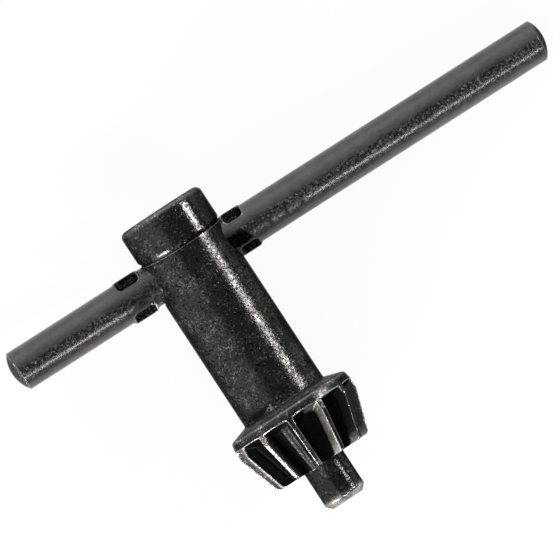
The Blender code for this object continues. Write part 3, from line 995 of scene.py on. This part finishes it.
def body_steel():
    """Black oxide on coarse steel, with bright steel where its edges wear, painted highlights and sheen,
    painted light and shade on the flanks, and painted shade with dirt between its teeth.
    """
    made, tree, shader = new_material("black_oxide_steel")
    grain, dots = oxide_grain(tree)
    patches = noise(tree, BODY_PATCH_SCALE, detail=3.0, roughness=0.6)
    clusters = calc(tree, "MULTIPLY", noise(tree, BODY_CLUSTER_SCALE), CLUSTER_SWAY)
    specks = calc(tree, "ADD", noise(tree, BODY_SPECK_SCALE, detail=2.0, roughness=0.6), clusters)
    specks = share_of(tree, specks, BODY_SPECK_LEVELS)
    pits = share_of(tree, noise(tree, BODY_PIT_SCALE, detail=2.0, roughness=0.7), BODY_PIT_LEVELS)
    rubbed_highlight_by = blend(tree, specks, RUBBED_HIGHLIGHT_PLAIN, RUBBED_HIGHLIGHT_SPECKED)
    rubbed_and_highlight = calc(tree, "MULTIPLY", painted(tree, "rubbed_and_highlight"), rubbed_highlight_by)
    shade_and_band_dark = calc(tree, "ADD", painted(tree, "shade_and_band_dark"), calc(tree, "MULTIPLY", patches, PATCH_SWAY))
    shade_and_band_dark = share_of(tree, shade_and_band_dark, SHADE_AND_BAND_LEVELS)
    inside = share_of(tree, painted(tree, "gap_depth"), FLANK_LEVELS)
    root = share_of(tree, painted(tree, "gap_depth"), ROOT_LEVELS)
    edge = calc(tree, "ADD", painted(tree, "worn_and_highlight"), calc(tree, "MULTIPLY", grain, GRAIN_SWAY))
    edge = share_of(tree, edge, EDGE_LEVELS)
    bright = blend(tree, specks, RUBBED_HIGHLIGHT_DARK, RUBBED_HIGHLIGHT_LIGHT)
    colour = blend(tree, share_of(tree, patches, BODY_PATCH_LEVELS), OXIDE_DARK, OXIDE_LIGHT)
    colour = blend(tree, specks, colour, OXIDE_SPECK)
    colour = blend(tree, pits, PIT_BLACK, colour)
    # Painted shade at the foot of the shank and in the groove, and the darker band
    colour = blend(tree, shade_and_band_dark, colour, blend(tree, specks, PIT_BLACK, SHADE_AND_BAND_SPECK))
    # Painted light with wear on one flank of each gap, painted shade on the other
    colour = blend(tree, inside, colour, blend(tree, painted(tree, "flank_light_and_wear"), FLANK_SHADE_DARK, bright))
    # Painted shade with dirt at the roots of the gaps
    colour = blend(tree, root, colour, ROOT_SHADE_BLACK)
    # Steel bared by rubbing, and painted highlights and sheen
    colour = blend(tree, rubbed_and_highlight, colour, bright)
    # Bare steel at edges from wear, and the painted highlight along the groove's step
    colour = blend(tree, edge, colour, BARE_STEEL)
    sleek = painted(tree, "sleek")
    height = calc(tree, "ADD", calc(tree, "MULTIPLY", grain, GRAIN_HEIGHT), dots)
    relief = blend(tree, sleek, BODY_RELIEF, SLEEK_RELIEF)
    bump = add(tree, "ShaderNodeBump", Strength=1.0, Distance=relief, Height=height)
    satin = blend(tree, patches, *SATIN_ROUGHNESS)
    plain = blend(tree, sleek, satin, blend(tree, patches, *SLEEK_ROUGHNESS))
    set_inputs(
        tree,
        shader,
        Base_Color=colour,
        Metallic=blend(tree, calc(tree, "MAXIMUM", edge, inside), OXIDE_METALLIC, 1.0),
        Roughness=blend(tree, calc(tree, "MAXIMUM", inside, rubbed_and_highlight), plain, RUBBED_ROUGHNESS),
        Specular_IOR_Level=0.0,
        Specular_Tint=BODY_EDGE_TINT,
        Normal=bump.outputs["Normal"],
    )
    return made


def bar_steel():
    """Drawn rod under a thinner oxide, pitted, with scuffs and painted shade of the body beside it, and dark
    in its slots, as painted shade over the oxide, and on its ends.
    """
    made, tree, shader = new_material("bar_steel")
    grain, dots = oxide_grain(tree)
    patches = noise(tree, BAR_PATCH_SCALE, detail=3.0, roughness=0.6)
    ragged = noise(tree, BAR_RAGGED_SCALE, detail=3.0, roughness=0.6)
    pits = share_of(tree, noise(tree, BAR_PIT_SCALE, detail=3.0, roughness=0.7), BAR_PIT_LEVELS)
    specks = share_of(tree, noise(tree, BAR_SPECK_SCALE, detail=3.0, roughness=0.7), BAR_SPECK_LEVELS)
    scuff_and_shade = share_of(tree, calc(tree, "ADD", painted(tree, "scuff_and_shade"), ragged), SHADE_AND_SCUFF_LEVELS)
    pitted = painted(tree, "pitted")
    dark = calc(tree, "MAXIMUM", painted(tree, "pressed"), painted(tree, "on_end"))
    mottled = calc(tree, "MULTIPLY", calc(tree, "ADD", patches, ragged), 0.5)
    oxide = blend(tree, share_of(tree, mottled, BAR_MOTTLE_LEVELS), BAR_OXIDE_DARK, BAR_OXIDE_LIGHT)
    pocked = blend(tree, pits, PIT_BLACK, blend(tree, specks, oxide, BAR_SPECK))
    colour = blend(tree, pitted, oxide, pocked)
    # Painted shade of the body and scuffs, dark between the slots
    colour = blend(tree, scuff_and_shade, colour, blend(tree, specks, SHADE_AND_SCUFF_BLACK, SHADE_AND_SCUFF_SPECK))
    # Painted shade over the oxide in the slots, and the dark ends
    colour = blend(tree, dark, colour, blend(tree, specks, SLOT_BLACK, SLOT_SPECK))
    # Painted highlight with wear on the lip of each slot, and wear round the ends
    lip = calc(tree, "MULTIPLY", painted(tree, "lip"), share_of(tree, ragged, LIP_BREAK_LEVELS))
    lip = calc(tree, "MULTIPLY", lip, calc(tree, "ADD", specks, LIP_PLAIN))
    colour = blend(tree, share_of(tree, lip, LIP_LEVELS), colour, LIP_HIGHLIGHT_STEEL)
    dull = calc(tree, "MAXIMUM", dark, scuff_and_shade)
    relief = blend(tree, pitted, BAR_RELIEF, PITTED_RELIEF)
    height = calc(tree, "ADD", grain, dots)
    bump = add(tree, "ShaderNodeBump", Strength=1.0, Distance=relief, Height=height)
    set_inputs(
        tree,
        shader,
        Base_Color=colour,
        Metallic=0.0,
        Roughness=blend(tree, dull, BAR_ROUGHNESS, DULL_ROUGHNESS),
        Specular_IOR_Level=blend(tree, dull, BAR_GLOSS, 0.0),
        Normal=bump.outputs["Normal"],
    )
    return made


def floor():
    """A plain white floor that takes the key's soft shadow."""
    bm = bmesh.new()
    bmesh.ops.create_grid(bm, x_segments=1, y_segments=1, size=FLOOR_HALF_SIZE)
    mesh = bpy.data.meshes.new("floor")
    bm.to_mesh(mesh)
    bm.free()
    made = bpy.data.objects.new("floor", mesh)
    bpy.context.scene.collection.objects.link(made)
    material, tree, shader = new_material("floor")
    set_inputs(tree, shader, Base_Color=FLOOR_COLOUR, Roughness=1.0, Specular_IOR_Level=0.0)
    white = add(tree, "ShaderNodeEmission", Color=WHITE, Strength=1.0)
    path = tree.nodes.new("ShaderNodeLightPath")
    glossy = calc(tree, "MULTIPLY", path.outputs["Is Glossy Ray"], FLOOR_GLOSSY_SHARE)
    seen = calc(tree, "MAXIMUM", path.outputs["Is Camera Ray"], glossy)
    seen = calc(tree, "MAXIMUM", seen, path.outputs["Is Transmission Ray"])
    mix = tree.nodes.new("ShaderNodeMixShader")
    tree.links.new(calc(tree, "MULTIPLY", seen, FLOOR_WHITE_SHARE), mix.inputs[0])
    tree.links.new(shader.outputs[0], mix.inputs[1])
    tree.links.new(white.outputs[0], mix.inputs[2])
    tree.links.new(mix.outputs[0], tree.nodes["Material Output"].inputs["Surface"])
    mesh.materials.append(material)


def photo_camera(body_place):
    """The camera, placed by where the two axes cross in the photograph and how the body's axis lies there."""
    axes = body_place.to_3x3()
    towards_key = Matrix.Rotation(VIEW_SIDEWAYS, 3, "Z") @ Matrix.Rotation(-VIEW_RAISED, 3, "X")
    toward = axes @ (towards_key @ Vector((0, -1, 0)))
    head = axes @ Vector((0, 0, 1))
    head = (head - toward * head.dot(toward)).normalized()
    upward = Matrix.Rotation(-CAMERA_ROLL, 3, toward) @ head
    right = upward.cross(toward)
    middle = IMAGE_PIXELS / 2
    aim = body_place.translation + right * (middle - CROSSING_PIXEL[0]) / PIXELS_PER_METRE
    aim = aim - upward * (middle - CROSSING_PIXEL[1]) / PIXELS_PER_METRE
    data = bpy.data.cameras.new("camera")
    data.sensor_width = CAMERA_SENSOR_MM
    data.lens = CAMERA_SENSOR_MM * PIXELS_PER_METRE * CAMERA_DISTANCE / IMAGE_PIXELS
    data.clip_end = CAMERA_CLIP_END
    made = bpy.data.objects.new("camera", data)
    bpy.context.scene.collection.objects.link(made)
    turn = Matrix((right, upward, toward)).transposed().to_4x4()
    made.matrix_world = Matrix.Translation(aim + toward * CAMERA_DISTANCE) @ turn
    bpy.context.scene.camera = made
    return made


def soft_light(name, camera, off_axis, azimuth, size, power):
    """A lamp that faces the key, off_axis degrees away from the camera at this azimuth of the picture."""
    turn = camera.matrix_world.to_3x3()
    toward = turn @ Vector((0, 0, 1))
    side = turn @ Vector((math.cos(math.radians(azimuth)), math.sin(math.radians(azimuth)), 0))
    out = math.cos(math.radians(off_axis)) * toward + math.sin(math.radians(off_axis)) * side
    across = toward.cross(side).normalized()
    data = bpy.data.lights.new(name, "AREA")
    data.shape = "RECTANGLE"
    data.size, data.size_y = size
    data.energy = power
    made = bpy.data.objects.new(name, data)
    bpy.context.scene.collection.objects.link(made)
    face = Matrix((across, out.cross(across), out)).transposed().to_4x4()
    made.matrix_world = Matrix.Translation(out * LAMP_DISTANCE) @ face


def sky(camera):
    """A plain sky, which brightens smoothly towards one side of the picture."""
    world = bpy.data.worlds.new("sky")
    bpy.context.scene.world = world
    world.use_nodes = True
    tree = world.node_tree
    turn = camera.matrix_world.to_3x3()
    azimuth = math.radians(SKY_AZIMUTH)
    side = turn @ Vector((math.cos(azimuth), math.sin(azimuth), 0))
    dot = tree.nodes.new("ShaderNodeVectorMath")
    dot.operation = "DOT_PRODUCT"
    tree.links.new(tree.nodes.new("ShaderNodeTexCoord").outputs["Generated"], dot.inputs[0])
    dot.inputs[1].default_value = side
    rise = add(
        tree,
        "ShaderNodeMapRange",
        Value=dot.outputs["Value"],
        From_Min=SKY_RISE_FROM,
        From_Max=SKY_RISE_TO,
        To_Min=SKY_LOW,
        To_Max=SKY_HIGH,
    )
    tree.links.new(rise.outputs["Result"], tree.nodes["Background"].inputs["Strength"])
    tree.nodes["Background"].inputs["Color"].default_value = WHITE


def main():
    body_place, bar_place = key_frame()
    for piece, node, slot, material in (
        (key_body(body_place), "key_body", "black_oxide_steel", body_steel()),
        (cross_bar(bar_place), "cross_bar", "bar_steel", bar_steel()),
    ):
        piece.data.materials.clear()
        piece.data.materials.append(material)
        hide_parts(node)
        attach(piece, "root")
    floor()
    camera = photo_camera(body_place)
    soft_light("left_softbox", camera, off_axis=57, azimuth=213, size=(0.8, 1.2), power=3.4)
    soft_light("strip_right", camera, off_axis=61, azimuth=36, size=(0.09, 0.20), power=3.4)
    soft_light("strip_below", camera, off_axis=49, azimuth=-57, size=(0.4, 0.05), power=1.9)
    soft_light("low_front", camera, off_axis=75, azimuth=-107, size=(0.48, 0.16), power=8.0)
    sky(camera)
    bpy.context.scene.view_settings.view_transform = "Standard"


main()
